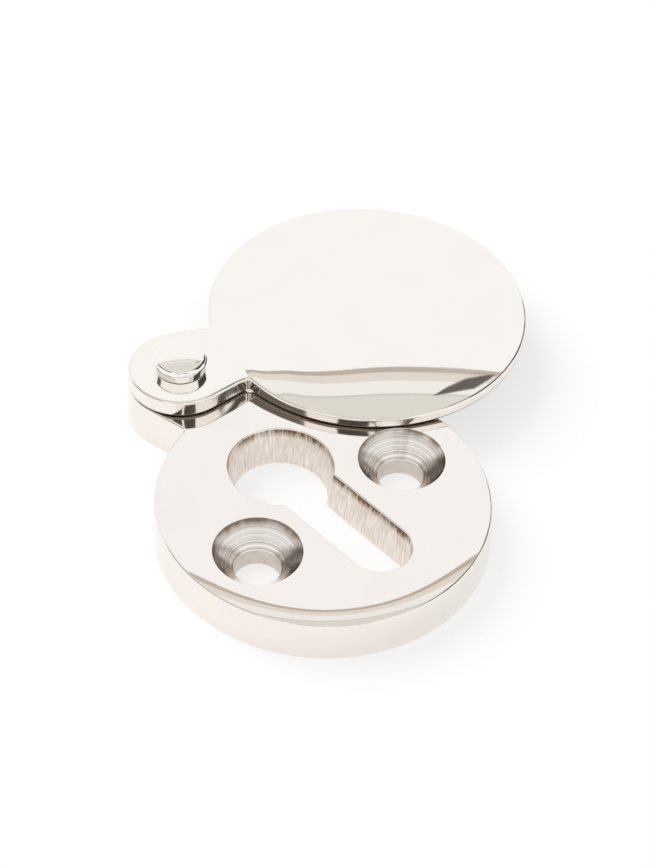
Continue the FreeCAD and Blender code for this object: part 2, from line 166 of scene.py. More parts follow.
class MaterialSheet(NodeSheet):
    """Lays out the nodes of one material."""

    def __init__(self, name: str) -> None:
        """Starts a material that holds a Principled shader and nothing else."""
        self.material = bpy.data.materials.new(name)
        self.material.use_nodes = True
        super().__init__(self.material.node_tree)
        self.shader = self.tree.nodes["Principled BSDF"]
        self.place = self.node("ShaderNodeTexCoord").outputs["Object"]

    def parts(self) -> dict[str, bpy.types.NodeSocket]:
        """Splits the piece's own coordinates.

        Returns:
            X, Y and Z by name.
        """
        made = self.node("ShaderNodeSeparateXYZ")
        self.join(self.place, made.inputs[0])
        return {part.name: part for part in made.outputs}

    def noise(
        self,
        stretch: tuple[float, float, float],
        detail: float = 3.0,
        roughness: float = 0.5,
        turn: float = 0.0,
    ) -> bpy.types.NodeSocket:
        """Noise over the piece's own coordinates.

        Args:
            stretch: Grains per metre along X, Y and Z.
            detail: Octaves.
            roughness: Weight of the finer octaves.
            turn: Turn of the pattern about Z, in degrees.

        Returns:
            The noise's value, from 0 to 1.
        """
        mapping = self.node("ShaderNodeMapping")
        mapping.inputs["Rotation"].default_value = (0.0, 0.0, math.radians(turn))
        mapping.inputs["Scale"].default_value = stretch
        self.join(self.place, mapping.inputs["Vector"])
        made = self.node("ShaderNodeTexNoise")
        made.inputs["Scale"].default_value = 1.0
        made.inputs["Detail"].default_value = detail
        made.inputs["Roughness"].default_value = roughness
        self.join(mapping.outputs[0], made.inputs["Vector"])
        return made.outputs[0]

    def ranged(
        self, value: bpy.types.NodeSocket, low: float, high: float, start: float = 0.3, end: float = 0.7
    ) -> bpy.types.NodeSocket:
        """Spreads a value over a range.

        Args:
            value: The value, such as a noise, whose middle is from 0.3 to 0.7.
            low: Result at the start.
            high: Result at the end.
            start: Where the value starts to change the result.
            end: Where it ends to.

        Returns:
            The spread value.
        """
        made = self.node("ShaderNodeMapRange")
        made.inputs["From Min"].default_value = start
        made.inputs["From Max"].default_value = end
        made.inputs["To Min"].default_value = low
        made.inputs["To Max"].default_value = high
        self.join(value, made.inputs["Value"])
        return made.outputs[0]

    def relief(
        self, value: bpy.types.NodeSocket, depth: float, under: Optional[bpy.types.NodeSocket] = None
    ) -> bpy.types.NodeSocket:
        """Raises the surface by a pattern.

        Args:
            value: The pattern, from 0 to 1.
            depth: Its height in metres.
            under: Normal of a relief below this one.

        Returns:
            The normal.
        """
        made = self.node("ShaderNodeBump")
        made.inputs["Strength"].default_value = 1.0
        made.inputs["Distance"].default_value = depth
        self.join(value, made.inputs["Height"])
        if under is not None:
            self.join(under, made.inputs["Normal"])
        return made.outputs[0]

    def tinted(
        self,
        value: bpy.types.NodeSocket,
        low: Colour,
        high: Colour,
        under: Optional[bpy.types.NodeSocket] = None,
    ) -> bpy.types.NodeSocket:
        """Mixes two colours by a pattern.

        Args:
            value: The pattern, from 0 to 1.
            low: Colour where it is low, as red, green and blue.
            high: Colour where it is high.
            under: A colour that takes the place of the low one.

        Returns:
            The mixed colour.
        """
        made = self.node("ShaderNodeMix", data_type="RGBA")
        first, second = (s for s in made.inputs if s.type == "RGBA")
        first.default_value = (*low, 1.0)
        second.default_value = (*high, 1.0)
        if under is not None:
            self.join(under, first)
        self.join(value, made.inputs["Factor"])
        return next(s for s in made.outputs if s.type == "RGBA")

    def metal(
        self, colour: bpy.types.NodeSocket, gloss: bpy.types.NodeSocket, normal: bpy.types.NodeSocket
    ) -> bpy.types.Material:
        """Makes the shader a metal.

        Args:
            colour: Its colour.
            gloss: Its roughness.
            normal: Its relief.

        Returns:
            The finished material.
        """
        for name, source in (("Base Color", colour), ("Roughness", gloss), ("Normal", normal)):
            self.join(source, self.shader.inputs[name])
        self.shader.inputs["Metallic"].default_value = 1.0
        return self.material


@dataclass(frozen=True)
class PolishedNickel:
    """Buffed nickel plate: a mirror with the faintest trace of the buffing wheel.

    Depths are in metres, and scales are grains per metre.
    """

    name: str
    pale: Colour = (0.945, 0.915, 0.875)
    dim: Colour = (0.93, 0.897, 0.855)
    gloss_low: float = 0.012
    gloss_high: float = 0.03
    line_depth: float = 1.2e-7
    line_turn: float = 0.0
    wave_depth: float = 4.0e-6
    waves: float = 120.0
    haze: float = 180.0
    lines: tuple[float, float, float] = (9000.0, 160.0, 400.0)

    def make(self) -> bpy.types.Material:
        """Builds the material."""
        sheet = MaterialSheet(self.name)
        haze = sheet.noise((self.haze,) * 3, detail=4.0)
        lines = sheet.noise(self.lines, detail=2.0, turn=self.line_turn)
        waves = sheet.noise((self.waves,) * 3, detail=1.0)
        soft = sheet.relief(waves, self.wave_depth)
        return sheet.metal(
            sheet.tinted(sheet.ranged(haze, 0.0, 1.0), self.dim, self.pale),
            sheet.ranged(haze, self.gloss_low, self.gloss_high),
            sheet.relief(lines, self.line_depth, soft),
        )


@dataclass(frozen=True)
class BroachedNickel:
    """Nickel over the drawn wall of the keyhole: hairlines from front to back, and tarnish near the front.

    Depths are in metres, scales are grains per metre, and the tarnish's two heights are in millimetres.
    """

    name: str
    pale: Colour = (0.97, 0.91, 0.85)
    dim: Colour = (0.74, 0.64, 0.55)
    tarnish: Colour = (0.2, 0.12, 0.065)
    tarnish_from: float = 2.9
    tarnish_to: float = 3.7
    hairs: tuple[float, float, float] = (5200.0, 5200.0, 90.0)
    hair_depth: float = 5.0e-6
    grain: tuple[float, float, float] = (2600.0, 2600.0, 1500.0)
    grain_depth: float = 2.0e-6
    patches: tuple[float, float, float] = (420.0, 420.0, 60.0)
    streaks: tuple[float, float, float] = (4200.0, 4200.0, 300.0)

    def make(self) -> bpy.types.Material:
        """Builds the material."""
        sheet = MaterialSheet(self.name)
        hairs = sheet.noise(self.hairs, detail=4.0, roughness=0.6)
        base = sheet.relief(sheet.noise(self.grain), self.grain_depth)
        high = sheet.ranged(sheet.parts()["Z"], 0.0, 1.0, self.tarnish_from * MM, self.tarnish_to * MM)
        patches = sheet.ranged(sheet.noise(self.patches), 0.0, 1.9)
        streaks = sheet.ranged(sheet.noise(self.streaks), 0.2, 1.4)
        amount = sheet.math("MULTIPLY", sheet.math("MULTIPLY", high, patches), streaks)
        plain = sheet.tinted(sheet.ranged(hairs, 0.0, 1.0), self.dim, self.pale)
        return sheet.metal(
            sheet.tinted(amount, self.pale, self.tarnish, plain),
            sheet.ranged(hairs, 0.42, 0.28),
            sheet.relief(hairs, self.hair_depth, base),
        )


@dataclass(frozen=True)
class TurnedNickel:
    """Nickel over a turned countersink: fine rings about the hole's own axis, and tarnish along its edge.

    Depths are in metres, scales are grains per metre, and distances from the axis are in millimetres.
    """

    name: str
    hole_x: float = 8.5
    rings: float = 6600.0
    ring_depth: float = 7.5e-6
    pale: Colour = (0.97, 0.94, 0.91)
    dim: Colour = (0.52, 0.46, 0.41)
    tarnish: Colour = (0.22, 0.16, 0.115)
    tarnish_from: float = 3.35
    tarnish_to: float = 3.9
    patches: tuple[float, float, float] = (500.0, 500.0, 200.0)

    def make(self) -> bpy.types.Material:
        """Builds the material, which serves the holes on both sides."""
        sheet = MaterialSheet(self.name)
        parts = sheet.parts()
        across = sheet.math("SUBTRACT", sheet.math("ABSOLUTE", parts["X"]), self.hole_x * MM)
        squares = [sheet.math("MULTIPLY", side, side) for side in (across, parts["Y"])]
        away = sheet.math("SQRT", sheet.math("ADD", *squares))
        rings = sheet.node("ShaderNodeTexNoise", noise_dimensions="1D")
        for name, value in (("Scale", self.rings), ("Detail", 4.0), ("Roughness", 0.7)):
            rings.inputs[name].default_value = value
        sheet.join(away, rings.inputs["W"])
        pattern = rings.outputs[0]
        edge = sheet.ranged(away, 0.0, 1.0, self.tarnish_from * MM, self.tarnish_to * MM)
        amount = sheet.math("MULTIPLY", edge, sheet.ranged(sheet.noise(self.patches), 0.1, 1.6))
        plain = sheet.tinted(sheet.ranged(pattern, 0.0, 1.0), self.dim, self.pale)
        return sheet.metal(
            sheet.tinted(amount, self.pale, self.tarnish, plain),
            sheet.ranged(pattern, 0.2, 0.09),
            sheet.relief(pattern, self.ring_depth),
        )


@dataclass(frozen=True)
class DullNickel:
    """Unpolished nickel of the back, which is mostly out of sight: fine grain and a low gloss. On the
    cover it also takes the foot rounding, where its dark colour is painted shade in the gap over the
    plate.
    """

    name: str
    colour: Colour
    grain: float = 1400.0
    grain_depth: float = 8.0e-6

    def make(self) -> bpy.types.Material:
        """Builds the material."""
        sheet = MaterialSheet(self.name)
        grain = sheet.noise((self.grain,) * 3, detail=5.0, roughness=0.6)
        sheet.join(sheet.ranged(grain, 0.55, 0.38), sheet.shader.inputs["Roughness"])
        sheet.join(sheet.relief(grain, self.grain_depth), sheet.shader.inputs["Normal"])
        sheet.shader.inputs["Base Color"].default_value = (*self.colour, 1.0)
        sheet.shader.inputs["Metallic"].default_value = 1.0
        return sheet.material


# Outlines and walls


class PlanTracer:
    """Draws a closed outline in plan by swinging and stretching one vertex, in millimetres."""

    def __init__(self, mesh: bmesh.types.BMesh, x: float, y: float, step: float = 0.22) -> None:
        """Puts the first vertex down.

        Args:
            mesh: The mesh to draw in.
            x: Start across.
            y: Start along.
            step: Longest edge of the outline.
        """
        self.mesh = mesh
        self.step = step
        self.side = mesh.verts.layers.float_vector["side"]
        self.tip = bmesh.ops.create_vert(mesh, co=(x, y, 0.0))["vert"][0]

    def swing(self, x: float, y: float, degrees: float) -> None:
        """Swings the tip about a centre.

        Args:
            x: Centre across.
            y: Centre along.
            degrees: Angle, counter-clockwise where it is positive.
        """
        reach = math.hypot(self.tip.co.x - x, self.tip.co.y - y)
        steps = max(3, math.ceil(abs(math.radians(degrees)) * reach / self.step))
        before = len(self.mesh.verts)
        start = self.tip
        made = bmesh.ops.spin(
            self.mesh, geom=[self.tip], cent=(x, y, 0.0), axis=UP, angle=math.radians(degrees),
            steps=steps, use_merge=False, use_duplicate=False,
        )
        self.tip = next(g for g in made["geom_last"] if isinstance(g, bmesh.types.BMVert))
        self.mesh.verts.ensure_lookup_table()
        for vert in [start, *self.mesh.verts[before:]]:
            away = vert.co - Vector((x, y, 0.0))
            vert[self.side] = away.normalized() * math.copysign(1.0, -degrees)

    def stretch(self, x: float, y: float) -> None:
        """Draws a straight line to a point.

        Args:
            x: The point across.
            y: The point along.
        """
        start, goal = self.tip.co.copy(), Vector((x, y, 0.0))
        steps = max(1, math.ceil((goal - start).length / self.step))
        for k in range(1, steps + 1):
            self.tip = bmesh.ops.extrude_vert_indiv(self.mesh, verts=[self.tip])["verts"][0]
            self.tip.co = start.lerp(goal, k / steps)
            self.tip[self.side] = Vector((start.y - goal.y, goal.x - start.x, 0.0)).normalized()


@dataclass
class NeckOutline:
    """Outline of a round piece with a neck that ends round about the pivot."""

    centre_y: float
    radius: float
    pivot_y: float
    end_radius: float = 4.8
    inner_half: float = 3.25
    inner_reach: float = 8.0
    hollow: float = 0.3

    def draw(self, mesh: bmesh.types.BMesh, inset_end: float, inset_round: float) -> None:
        """Draws the outline, set in by an allowance.

        Args:
            mesh: The mesh to draw in.
            inset_end: Allowance along the neck and its end.
            inset_round: Allowance along the round part.
        """
        end = self.end_radius - inset_end
        big = self.radius - inset_round
        lean = math.atan2(-self.inner_reach, self.inner_half)
        lean += math.acos(self.end_radius / math.hypot(self.inner_half, self.inner_reach))
        out = Vector((math.cos(lean), math.sin(lean)))
        along = Vector((-out.y, out.x))
        corner = self.hollow + max(inset_end, inset_round)
        away = Vector((0.0, self.pivot_y - self.centre_y)) + out * (end + corner)
        square = away.dot(along) ** 2 - away.length_squared + (big + corner) ** 2
        slide = math.sqrt(square) - away.dot(along)
        centre = away + along * slide + Vector((0.0, self.centre_y))
        touch = centre - out * corner
        turn = math.degrees(math.atan2(self.centre_y - centre.y, -centre.x) - math.atan2(-out.y, -out.x))
        turn = (turn + 180.0) % 360.0 - 180.0
        start = math.degrees(math.atan2(centre.y - self.centre_y, centre.x))
        rise = 90.0 - math.degrees(lean)
        pen = PlanTracer(mesh, 0.0, self.pivot_y + end)
        pen.swing(0.0, self.pivot_y, -rise)
        pen.stretch(touch.x, touch.y)
        pen.swing(centre.x, centre.y, turn)
        pen.swing(0.0, self.centre_y, -(180.0 + 2.0 * start))
        pen.swing(-centre.x, centre.y, turn)
        tangent = Vector((0.0, self.pivot_y)) + Vector((-out.x, out.y)) * end
        pen.stretch(tangent.x, tangent.y)
        pen.swing(0.0, self.pivot_y, -rise)


@dataclass
class KeyholeOutline:
    """Outline of the keyhole: a round head over a straight slot with a round end."""

    x: float = -0.27
    head_y: float = 6.3
    head_radius: float = 4.72
    slot_half: float = 2.86
    end_y: float = -6.4
    corner: float = 0.4

    def draw(self, mesh: bmesh.types.BMesh, grow: float) -> None:
        """Draws the outline.

        Args:
            mesh: The mesh to draw in.
            grow: Allowance that makes it wider all around.
        """
        head = self.head_radius + grow
        half = self.slot_half + grow
        aside = self.slot_half + self.corner
        below = math.sqrt((self.head_radius + self.corner) ** 2 - aside ** 2)
        throat = math.degrees(math.atan2(-below, aside))
        throat_y = self.head_y - below
        pen = PlanTracer(mesh, self.x, self.head_y + head)
        pen.swing(self.x, self.head_y, throat - 90.0)
        pen.swing(self.x + aside, throat_y, -throat)
        pen.stretch(self.x + half, self.end_y)
        pen.swing(self.x, self.end_y, -180.0)
        pen.stretch(self.x - half, throat_y)
        pen.swing(self.x - aside, throat_y, -throat)
        pen.swing(self.x, self.head_y, throat - 90.0)


@dataclass(frozen=True)
class Strip:
    """One strip of a wall, from the ring above it to the next.

    Its lower edge lies out by a distance, at the height z or lower by a drop. The tilts say how far the
    surface leans from facing up, in degrees, at its upper and lower edge.
    """

    out: float
    z: Optional[float]
    upper: float
    lower: float
    finish: Finish
    drop: float = 0.0


def rounding(radius: float, low: float, high: float, finish: Finish, steps: int = 6) -> list[Strip]:
    """A rounded edge as strips.

    Args:
        radius: Radius of the rounding, in millimetres.
        low: Tilt of the surface above it, in degrees.
        high: Tilt of the surface below it.
        finish: Its finish.
        steps: How many strips.

    Returns:
        The strips, from the top down.
    """
    strips = []
    for k in range(steps):
        upper = low + (high - low) * k / steps
        lower = low + (high - low) * (k + 1) / steps
        out = radius * (math.sin(math.radians(lower)) - math.sin(math.radians(upper)))
        drop = radius * (math.cos(math.radians(upper)) - math.cos(math.radians(lower)))
        strips.append(Strip(out, None, upper, lower, finish, drop))
    return strips


def eased(share: float) -> float:
    """Eases a share from 0 to 1."""
    held = min(max(share, 0.0), 1.0)
    return held * held * (3.0 - 2.0 * held)


class MirrorPiece:
    """A flat-backed piece whose front is lifted from its plan, with exact normals for a mirror finish."""

    cell_shift = 0.37

    def __init__(self, height: Height, cell: float = 0.4) -> None:
        """Starts an empty piece.

        Args:
            height: Height of the front over the plan, in millimetres.
            cell: Width of the cells that the front is cut into.
        """
        self.mesh = bmesh.new()
        self.height = height
        self.cell = cell
        self.side = self.mesh.verts.layers.float_vector.new("side")
        self.facing = self.mesh.loops.layers.float_vector.new("facing")

    def normal_at(self, x: float, y: float) -> Vector:
        """Normal of the front, from its height on both sides of a point.

        Args:
            x: The point across.
            y: The point along.

        Returns:
            The normal.
        """
        step = 0.002
        slope_x = (self.height(x + step, y) - self.height(x - step, y)) / (2.0 * step)
        slope_y = (self.height(x, y + step) - self.height(x, y - step)) / (2.0 * step)
        return Vector((-slope_x, -slope_y, 1.0)).normalized()

    def fill_front(self, finish: Finish) -> None:
        """Fills the outlines drawn so far, cuts the fill into cells and lifts it to the front's height.

        Args:
            finish: The front's finish.
        """
        mesh = self.mesh
        bmesh.ops.remove_doubles(mesh, verts=mesh.verts, dist=0.002)
        bmesh.ops.triangle_fill(mesh, use_beauty=True, use_dissolve=True, edges=mesh.edges, normal=UP)
        for axis in (0, 1):
            low = min(v.co[axis] for v in mesh.verts)
            span = max(v.co[axis] for v in mesh.verts) - low
            count = math.ceil(span / self.cell)
            facing = Vector((1.0 - axis, float(axis), 0.0))
            for k in range(1, count):
                place = facing * (low + (k - self.cell_shift) * span / count)
                bmesh.ops.bisect_plane(
                    mesh, geom=mesh.verts[:] + mesh.edges[:] + mesh.faces[:], dist=0.0005,
                    plane_co=place, plane_no=facing,
                )
        for vert in mesh.verts:
            vert.co.z = self.height(vert.co.x, vert.co.y)
        for face in mesh.faces:
            face.material_index = finish.value
            face.normal_update()
            if face.normal.z < 0.0:
                face.normal_flip()
            for loop in face.loops:
                loop[self.facing] = self.normal_at(loop.vert.co.x, loop.vert.co.y)

    def rims(self) -> list[list[bmesh.types.BMEdge]]:
        """Follows the open edges from one to the next.

        Returns:
            The open edges, one list for each closed rim.
        """
        left = {e for e in self.mesh.edges if e.is_boundary}
        found = []
        while left:
            rim = [left.pop()]
            for edge in rim:
                for vert in edge.verts:
                    for other in vert.link_edges:
                        if other in left:
                            left.remove(other)
                            rim.append(other)
            found.append(rim)
        return found

    def wall(self, rim: list[bmesh.types.BMEdge], strips: Callable[[Vector], list[Strip]]) -> None:
        """Draws a wall down from a rim, strip by strip.

        Args:
            rim: The open edges that it starts from.
            strips: The strips under a point of the rim; the same number all around.
        """
        edge = max(rim, key=lambda e: e.calc_length())
        middle = (edge.verts[0].co + edge.verts[1].co) / 2.0 - edge.link_faces[0].calc_center_median()
        flip = math.copysign(1.0, (edge.verts[0][self.side] + edge.verts[1][self.side]).dot(middle))
        outward = {v: (Vector((*v[self.side][:2], 0.0)) * flip).normalized() for e in rim for v in e.verts}
        sets = {vert: strips(vert.co) for vert in outward}
        ring = {vert: vert for vert in outward}
        edges = rim
        for k in range(len(next(iter(sets.values())))):
            made = bmesh.ops.extrude_edge_only(self.mesh, edges=edges)["geom"]
            fresh = {g for g in made if isinstance(g, bmesh.types.BMVert)}
            edges = [g for g in made if isinstance(g, bmesh.types.BMEdge)]
            edges = [e for e in edges if all(v in fresh for v in e.verts)]
            lower: dict[bmesh.types.BMVert, bmesh.types.BMVert] = {}
            for start, vert in ring.items():
                near = (e.other_vert(vert) for e in vert.link_edges)
                lower[start] = next(v for v in near if v in fresh)
            source = {v: s for s, v in ring.items()} | {v: s for s, v in lower.items()}
            for start, vert in lower.items():
                strip = sets[start][k]
                top = ring[start].co
                z = top.z - strip.drop if strip.z is None else strip.z
                vert.co = Vector((top.x, top.y, z)) + outward[start] * strip.out
            for face in (g for g in made if isinstance(g, bmesh.types.BMFace)):
                self.turn_out(face, outward[source[face.verts[0]]])
                for loop in face.loops:
                    start = source[loop.vert]
                    strip = sets[start][k]
                    tilt = math.radians(strip.lower if loop.vert in fresh else strip.upper)
                    loop[self.facing] = outward[start] * math.sin(tilt) + UP * math.cos(tilt)
                    face.material_index = strip.finish.value
            ring = lower

    @staticmethod
    def turn_out(face: bmesh.types.BMFace, away: Vector) -> None:
        """Turns a wall's face away from the solid.

        Args:
            face: The face.
            away: Direction away from the solid.
        """
        face.normal_update()
        tilt = face.normal.dot(away)
        if tilt < -1.0e-4 or (abs(tilt) <= 1.0e-4 and face.normal.z < 0.0):
            face.normal_flip()

    def close_back(self, finish: Finish) -> None:
        """Fills the back between the lowest rings.

        Args:
            finish: The back's finish.
        """
        edges = [e for e in self.mesh.edges if e.is_boundary]
        made = bmesh.ops.triangle_fill(
            self.mesh, use_beauty=True, use_dissolve=False, edges=edges, normal=-UP
        )
        for face in (g for g in made["geom"] if isinstance(g, bmesh.types.BMFace)):
            face.normal_update()
            if face.normal.z > 0.0:
                face.normal_flip()
            face.material_index = finish.value
            for loop in face.loops:
                loop[self.facing] = -UP

    def finished(self, name: str, place: Matrix) -> bpy.types.Object:
        """Turns the piece into an object in its place.

        Args:
            name: The object's name.
            place: Turn and place of the piece, in millimetres.

        Returns:
            The object, at the origin, in metres.
        """
        open_edges = sum(1 for e in self.mesh.edges if not e.is_manifold)
        LOG.info("%s: %d faces, %d open edges", name, len(self.mesh.faces), open_edges)
        turn = place.to_3x3()
        loops = [loop for face in self.mesh.faces for loop in face.loops]
        facing = [(turn @ loop[self.facing]).normalized() for loop in loops]
        self.mesh.loops.layers.float_vector.remove(self.facing)
        self.mesh.verts.layers.float_vector.remove(self.side)
        bmesh.ops.transform(self.mesh, matrix=Matrix.Scale(MM, 4) @ place, verts=self.mesh.verts)
        for face in self.mesh.faces:
            face.smooth = True
        made = drawn(name, self.mesh)
        made.data.normals_split_custom_set(facing)
        return made


# The pieces


@dataclass
class Plate:
    """The round plate with its keyhole, countersunk screw holes and the lug that carries the rivet."""

    centre_y: float = 1.0
    radius: float = 15.0
    thickness: float = 3.9
    draft: float = 3.2
    roll_start: float = 12.4
    roll_radius: float = 39.5
    roll_limit: float = 0.1
    edge_round: float = 0.2
    lug_round: float = 0.28
    lug_blend: float = 0.8
    neck_from: float = 6.0
    neck_half: float = 4.5
    neck_fall: float = 11.0
    ear_reach: float = 5.0
    pivot_y: float = 20.45
    screw_x: float = 8.5
    screw_radius: float = 2.05
    screw_round: float = 0.08
    countersink_radius: float = 3.935
    countersink_lean: float = 50.0
    countersink_round: float = 0.05
    keyhole_round: float = 0.13
    keyhole_draft: float = 7.0
    rivet_hole: float = 1.32
    recess_radius: float = 2.3
    recess_depth: float = 1.0

    @property
    def top_radius(self) -> float:
        """Radius of the plate at the height of its front, before the edge is rounded."""
        return self.radius - self.thickness * math.tan(math.radians(self.draft))

    def front(self, x: float, y: float) -> float:
        """Height of the polished front: flat, with a fall to the edge that spares the neck.

        Args:
            x: Place across.
            y: Place along.

        Returns:
            The height.
        """
        away = math.hypot(x, y - self.centre_y) - self.roll_start
        roll = self.thickness
        if away > 0.0:
            roll -= self.roll_radius - math.sqrt(self.roll_radius ** 2 - away ** 2)
        if y < self.neck_from:
            return roll
        side = min(max(abs(x) - self.neck_half, 0.0), self.neck_fall * 0.5)
        neck = self.thickness - self.neck_fall + math.sqrt(self.neck_fall ** 2 - side ** 2)
        return max(roll, neck)

    def outer_strips(self, point: Vector) -> list[Strip]:
        """Rounded edge and leaning wall around plate and lug.

        Args:
            point: A point of the front's rim.

        Returns:
            The strips below it.
        """
        away = math.hypot(point.x, point.y - self.centre_y)
        lean = 0.0
        beside = abs(point.x) > self.neck_half and point.y < self.pivot_y - self.ear_reach
        if away > self.roll_start and beside:
            fall = min((away - self.roll_start) / self.roll_radius, self.roll_limit)
            lean = math.degrees(math.asin(fall))
        wall = 90.0 - self.draft
        share = eased((away - self.top_radius + self.edge_round) / self.lug_blend)
        soft = self.edge_round + (self.lug_round - self.edge_round) * share
        strips = rounding(soft, lean, wall, Finish.WALL)
        foot = point.z - sum(s.drop for s in strips)
        out = foot * math.tan(math.radians(self.draft))
        strips.append(Strip(out, 0.0, wall, wall, Finish.WALL))
        return strips

    def keyhole_strips(self, point: Vector) -> list[Strip]:
        """Rounded edge and leaning wall of the keyhole.

        Args:
            point: A point of the front's rim.

        Returns:
            The strips below it.
        """
        wall = 90.0 - self.keyhole_draft
        strips = rounding(self.keyhole_round, 0.0, wall, Finish.FRONT)
        foot = point.z - sum(s.drop for s in strips)
        lean = math.tan(math.radians(self.keyhole_draft))
        strips.append(Strip(foot * lean, 0.0, wall, wall, Finish.BROACHED))
        return strips

    def screw_strips(self, point: Vector) -> list[Strip]:
        """Countersink and through wall of a screw hole.

        Args:
            point: A point of the front's rim. Not used.

        Returns:
            The strips below it.
        """
        lean = self.countersink_lean
        strips = rounding(self.countersink_round, 0.0, lean, Finish.FRONT, 3)
        soft = rounding(self.screw_round, lean, 90.0, Finish.TURNED, 3)
        wide = self.countersink_radius - self.screw_radius - sum(s.out for s in strips + soft)
        deep = wide * math.tan(math.radians(lean))
        strips.append(Strip(wide, None, lean, lean, Finish.TURNED, deep))
        strips += soft
        strips.append(Strip(0.0, 0.0, 90.0, 90.0, Finish.BACK))
        return strips

    def rivet_strips(self, point: Vector) -> list[Strip]:
        """Wall of the rivet's hole, and the recess at its back.

        Args:
            point: A point of the front's rim. Not used.

        Returns:
            The strips below it.
        """
        ledge = self.rivet_hole - self.recess_radius
        return [
            Strip(0.0, self.recess_depth, 90.0, 90.0, Finish.BROACHED),
            Strip(ledge, self.recess_depth, 180.0, 180.0, Finish.BACK),
            Strip(0.0, 0.0, 90.0, 90.0, Finish.BACK),
        ]

    def build(self) -> bpy.types.Object:
        """Builds the plate in its place."""
        piece = MirrorPiece(self.front)
        outline = NeckOutline(self.centre_y, self.top_radius, self.pivot_y)
        outline.draw(piece.mesh, self.lug_round, self.edge_round)
        KeyholeOutline().draw(piece.mesh, self.keyhole_round)
        for side in (-1.0, 1.0):
            middle = side * self.screw_x
            PlanTracer(piece.mesh, middle + self.countersink_radius, 0.0).swing(middle, 0.0, 360.0)
        PlanTracer(piece.mesh, self.rivet_hole, self.pivot_y).swing(0.0, self.pivot_y, 360.0)
        piece.fill_front(Finish.FRONT)
        for rim in piece.rims():
            piece.wall(rim, self.strips_for(rim))
        piece.close_back(Finish.BACK)
        return piece.finished("polished_plate", Matrix.Identity(4))

    def strips_for(self, rim: list[bmesh.types.BMEdge]) -> Callable[[Vector], list[Strip]]:
        """Chooses the wall that belongs to a rim.

        Args:
            rim: The rim's edges.

        Returns:
            The method that gives its strips.
        """
        xs = [v.co.x for e in rim for v in e.verts]
        ys = [v.co.y for e in rim for v in e.verts]
        if max(xs) - min(xs) > self.radius:
            return self.outer_strips
        if min(ys) > self.radius:
            return self.rivet_strips
        if abs(max(xs) + min(xs)) > self.screw_x:
            return self.screw_strips
        return self.keyhole_strips

    def dress(self, piece: bpy.types.Object) -> None:
        """Gives the plate its finishes, in the order of Finish.

        Args:
            piece: The plate.
        """
        for finish in (
            PolishedNickel("nickel_front_of_plate", (0.92, 0.878, 0.84), (0.9, 0.857, 0.818)),
            PolishedNickel(
                "nickel_wall_of_plate", (0.915, 0.865, 0.815), (0.885, 0.835, 0.78),
                gloss_low=0.08, gloss_high=0.14, line_depth=6.0e-7, wave_depth=1.0e-4, waves=300.0,
            ),
            BroachedNickel("nickel_in_keyhole"),
            DullNickel("nickel_back_of_plate", (0.76, 0.69, 0.63)),
            TurnedNickel("nickel_in_countersinks"),
        ):
            piece.data.materials.append(finish.make())


